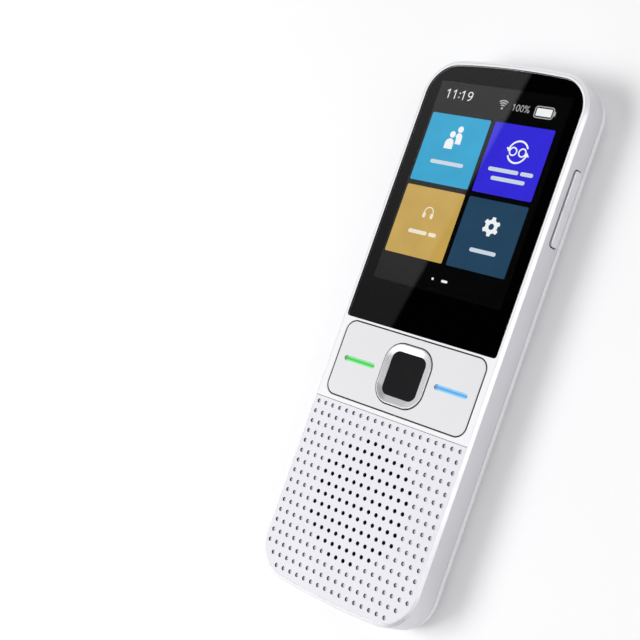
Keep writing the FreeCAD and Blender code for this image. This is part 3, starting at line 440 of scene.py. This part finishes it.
TILE_LEFT = (-17.5, -0.55)
TILE_RIGHT = (0.7, 16.93)
ROW_HIGH = (33.5, 50.15)
ROW_LOW = (15.75, 32.3)
for name, (x0, x1), (y0, y1), material in (
        ("screen_tile_cyan", TILE_LEFT, ROW_HIGH, cyan),
        ("screen_tile_indigo", TILE_RIGHT, ROW_HIGH, indigo),
        ("screen_tile_gold", TILE_LEFT, ROW_LOW, gold),
        ("screen_tile_slate", TILE_RIGHT, ROW_LOW, slate)):
    screen_piece(name, material, 0, outlines=[rounded(x0, y0, x1, y1, 0.35)])


def shoulders(x, y, half, drop):
    return [(x - half, y - drop)] + arc(x, y - half, half, 180, 0, 16) + [(x + half, y - drop)]


# Two people: a head over rounded shoulders, the far one half behind the near one
screen_piece("screen_sign_people", glow, 1, outlines=[
    disc(-9.75, 45.55, 0.78), shoulders(-9.95, 44.55, 1.2, 2.5),
    disc(-7.95, 46.95, 0.78),
    [(-8.35, 46.0), (-7.85, 46.1), (-7.3, 45.9), (-6.95, 45.4), (-6.85, 44.6), (-6.85, 43.4),
     (-8.4, 43.4), (-8.4, 44.3), (-8.55, 44.9), (-8.8, 45.25)]])

# A ring of two arrows round two discs
ring_arcs = [(arc(9.2, 44.0, 2.55, 25, 168, 18), 0.42, False),
             (arc(9.2, 44.0, 2.55, 205, 348, 18), 0.42, False)]
arrow = [(-0.75, 0.0), (0.75, 0.0), (0.0, -0.95)]
screen_piece("screen_sign_exchange", glow, 1, strokes=ring_arcs + [
    (disc(7.95, 44.0, 0.92, 20), 0.34, True), (disc(10.45, 44.0, 0.92, 20), 0.34, True)],
    outlines=[centred(arrow, 6.66, 44.75), centred([(-x, -y) for x, y in arrow], 11.74, 43.25)])

# Headphones
screen_piece("screen_sign_headphones", soft_glow, 1,
             strokes=[(centred([(-1.45, -0.9)] + arc(0.0, 0.05, 1.5, 185, -5, 16) + [(1.45, -0.9)],
                               -8.8, 26.5, 0.82), 0.28, False)],
             outlines=[centred(rounded(x, -1.65, x + 1.0, -0.1, 0.4), -8.8, 26.5, 0.82)
                       for x in (-1.85, 0.85)])

# Gear wheel
TEETH = 6
outer = []
inner = []
for i in range(TEETH * 8):
    turn = 360.0 * i / (TEETH * 8) + 7.5
    radius = 2.25 if (i % 8) in (1, 2, 3, 4) else 1.66
    across = math.cos(math.radians(turn))
    along = math.sin(math.radians(turn))
    outer.append((9.1 + radius * across, 26.4 + radius * along))
    inner.append((9.1 + 0.72 * across, 26.4 + 0.72 * along))
screen_piece("screen_sign_gear", glow, 1, bands=[(outer, inner)])


BAR_HALF = 0.46
BAR_GAP = 0.55


def bars(name, material, rows):
    """Plain bars in place of words: (centre x, centre y, widths of the bars in one row)."""
    loops = []
    for x, y, widths in rows:
        at = x - (sum(widths) + BAR_GAP * (len(widths) - 1)) / 2.0
        for w in widths:
            loops.append(rounded(at, y - BAR_HALF, at + w, y + BAR_HALF, 0.44, 4))
            at += w + BAR_GAP
    screen_piece(name, material, 1, outlines=loops)


bars("screen_bars_cyan", label_glow, [(-8.7, 38.6, (9.6,))])
bars("screen_bars_indigo", label_glow, [(9.1, 39.3, (8.2, 3.4)), (9.1, 37.3, (9.2,))])
bars("screen_bars_gold", soft_glow, [(-8.7, 21.6, (5.4, 2.2))])
bars("screen_bars_slate", label_glow, [(9.1, 20.5, (7.2,))])

# Clock, wireless fan, charge and battery
DIGITS = {
    "0": [([(0.5 + 0.42 * math.cos(a * math.pi / 8), 1.0 + 0.87 * math.sin(a * math.pi / 8))
            for a in range(16)], True)],
    "1": [([(0.12, 1.5), (0.55, 1.88), (0.55, 0.08)], False)],
    "9": [([(0.5 + 0.4 * math.cos(a * math.pi / 8), 1.38 + 0.49 * math.sin(a * math.pi / 8))
            for a in range(16)], True),
          ([(0.9, 1.3), (0.86, 0.75), (0.62, 0.3), (0.22, 0.12)], False)],
}


def digits(text, x, y, height, width, pitch):
    out = []
    scale = height / 2.0
    for i, c in enumerate(text):
        for points, closed in DIGITS[c]:
            wide = [(px * width / scale, py) for px, py in points]
            out.append((centred(wide, x + i * pitch, y, scale), height * 0.1, closed))
    return out


screen_piece("screen_clock", glow, 1,
             strokes=(digits("11", -15.7, 53.85, 2.35, 1.5, 1.85)
                      + digits("19", -11.35, 53.85, 2.35, 1.5, 1.95)),
             outlines=[disc(-11.75, 54.45, 0.18, 12), disc(-11.75, 55.45, 0.18, 12)])
screen_piece("screen_charge_number", grey_glow, 1,
             strokes=digits("100", 3.7, 53.1, 1.7, 0.95, 1.12) + [
                 ([(7.3, 53.15), (8.2, 54.75)], 0.18, False),
                 (disc(7.32, 54.45, 0.27, 12), 0.16, True), (disc(8.18, 53.45, 0.27, 12), 0.16, True)])
fan = [disc(1.05, 53.35, 0.28, 12)]
screen_piece("screen_wireless_fan", grey_glow, 1, outlines=fan,
             strokes=[(arc(1.05, 53.3, r, 52, 128, 10), 0.3, False) for r in (0.8, 1.35, 1.9)])
case = rounded(9.95, 52.45, 14.85, 55.05, 0.6)
screen_piece("screen_battery_case", grey_glow, 1, strokes=[(case, 0.22, True)],
             outlines=[rounded(15.0, 53.2, 15.4, 54.3, 0.15)])
screen_piece("screen_battery_charge", glow, 1, outlines=[rounded(10.35, 52.85, 14.45, 54.65, 0.2)])
screen_piece("screen_page_marks", glow, 1,
             outlines=[disc(-1.43, 12.0, 0.3, 14), rounded(1.05, 11.72, 2.8, 12.28, 0.26)])


# Floor, light and camera

def floor():
    m, tree, shader, coords = surface("pale_floor", rgb(250, 250, 251), 0.6, drift=0.004,
                                      grain=1.2, grain_depth=0.004, drift_size=200.0)
    bm = bmesh.new()
    bmesh.ops.create_grid(bm, x_segments=4, y_segments=4, size=1.6)
    mesh = bpy.data.meshes.new("studio_floor")
    bm.to_mesh(mesh)
    bm.free()
    mesh.materials.append(m)
    obj = bpy.data.objects.new("studio_floor", mesh)
    obj.location.z = -0.00002
    scene.collection.objects.link(obj)


def softbox(name, place, width, height, power):
    """A soft area light aimed at the body."""
    data = bpy.data.lights.new(name, "AREA")
    data.shape = "RECTANGLE"
    data.size = width
    data.size_y = height
    data.energy = power
    data.color = (1.0, 1.0, 1.0)
    obj = bpy.data.objects.new(name, data)
    obj.location = place
    obj.rotation_euler = (Vector(LIGHT_AIM) - Vector(place)).to_track_quat("-Z", "Y").to_euler()
    scene.collection.objects.link(obj)
    return obj


LIGHT_AIM = (0.0, 0.0, 0.01)
ROOM_LIGHT = 0.60
CAMERA_AT = Vector((183.25, -19.54, 251.95)) * MM
CAMERA_AIM = Vector((-29.04, -4.32, 11.5)) * MM
CAMERA_ROLL = math.radians(19.584)
CAMERA_LENS = 76.11
FACE_Z = FACE_HEIGHT * MM
GLARE_TOP = Vector((5.53, 62.05, 11.5)) * MM
GLARE_BOTTOM = Vector((-7.91, -0.91, 11.5)) * MM


# Directions of two dark places in the room: low in front, and overhead for reflections only
DARK_CARD = Vector((0.228, -0.927, 0.301))
OVERHEAD_GAP = Vector((0.30, 0.05, 0.95))


def studio_sky():
    """An even pale room. The cover glass mirrors a lit panel and the dark gap beside it."""
    world = bpy.data.worlds.new("studio_sky")
    scene.world = world
    world.use_nodes = True
    tree = world.node_tree
    background = tree.nodes["Background"]
    mirror_eye = Vector((CAMERA_AT.x, CAMERA_AT.y, 2 * FACE_Z - CAMERA_AT.z))
    top = (GLARE_TOP - mirror_eye).normalized()
    bottom = (GLARE_BOTTOM - mirror_eye).normalized()
    edge = top.cross(bottom).normalized()
    if edge.x < 0:
        edge = -edge
    coords = tree.nodes.new("ShaderNodeTexCoord")

    def dot(vector):
        n = tree.nodes.new("ShaderNodeVectorMath")
        n.operation = "DOT_PRODUCT"
        n.inputs[1].default_value = vector
        link(tree, coords, "Generated", n, 0)
        return n

    def maths(operation, a, b):
        n = tree.nodes.new("ShaderNodeMath")
        n.operation = operation
        for i, v in enumerate((a, b)):
            if isinstance(v, (int, float)):
                n.inputs[i].default_value = v
            else:
                tree.links.new(v, n.inputs[i])
        return n.outputs["Value"]

    side = new_range(tree, dot(edge), "Value", 0.0, 1.0, -0.0015, 0.0015)
    middle = (top + bottom + edge * 0.2).normalized()
    patch = new_range(tree, dot(middle), "Value", 0.0, 1.0, 0.90, 0.94)
    climb = new_range(tree, dot(Vector((0.0, 1.0, 0.0))), "Value", 0.26, 0.62, 0.08, 0.27)
    left_of_edge = maths("SUBTRACT", 1.0, side.outputs["Result"])
    lit_side = maths("MULTIPLY", climb.outputs["Result"], left_of_edge)
    dark_side = maths("MULTIPLY", 0.01, side.outputs["Result"])
    inside = maths("MULTIPLY", maths("ADD", lit_side, dark_side), patch.outputs["Result"])
    outside = maths("MULTIPLY", ROOM_LIGHT, maths("SUBTRACT", 1.0, patch.outputs["Result"]))
    card = new_range(tree, dot(DARK_CARD.normalized()), "Value", 1.0, 0.05, 0.90, 0.94)
    outside = maths("MULTIPLY", outside, card.outputs["Result"])
    path = tree.nodes.new("ShaderNodeLightPath")
    overhead = new_range(tree, dot(OVERHEAD_GAP.normalized()), "Value", 0.0, 0.9, 0.86, 0.95)
    gap = maths("MULTIPLY", overhead.outputs["Result"], path.outputs["Is Glossy Ray"])
    outside = maths("MULTIPLY", outside, maths("SUBTRACT", 1.0, gap))
    seen = maths("MULTIPLY", ROOM_LIGHT, path.outputs["Is Camera Ray"])
    room = maths("MULTIPLY", maths("ADD", inside, outside),
                 maths("SUBTRACT", 1.0, path.outputs["Is Camera Ray"]))
    tree.links.new(maths("ADD", seen, room), background.inputs["Strength"])
    background.inputs["Color"].default_value = (1.0, 1.0, 1.0, 1.0)


floor()
studio_sky()
# The key light in two parts, so that gloss mirrors only the weaker one
key_light = softbox("key_softbox", (-0.36, -0.20, 0.68), 0.46, 0.46, 2.85)
key_light.visible_glossy = False
softbox("key_sheen", (-0.35, -0.195, 0.66), 0.46, 0.46, 1.0)
softbox("fill_softbox", (0.80, 0.10, 0.50), 0.4, 0.5, 1.0)

camera_data = bpy.data.cameras.new("photo_camera")
camera_data.lens = CAMERA_LENS
camera_data.sensor_width = 36.0
camera_data.sensor_fit = "HORIZONTAL"
camera_data.clip_start = 0.005
camera_data.clip_end = 20.0
camera = bpy.data.objects.new("photo_camera", camera_data)
back = (CAMERA_AT - CAMERA_AIM).normalized()
level = Vector((0.0, 1.0, 0.0)).cross(back).normalized()
rise = back.cross(level)
right = level * math.cos(CAMERA_ROLL) + rise * math.sin(CAMERA_ROLL)
up = back.cross(right)
turn = Matrix((right, up, back)).transposed().to_4x4()
camera.matrix_world = Matrix.Translation(CAMERA_AT) @ turn
scene.collection.objects.link(camera)
scene.camera = camera
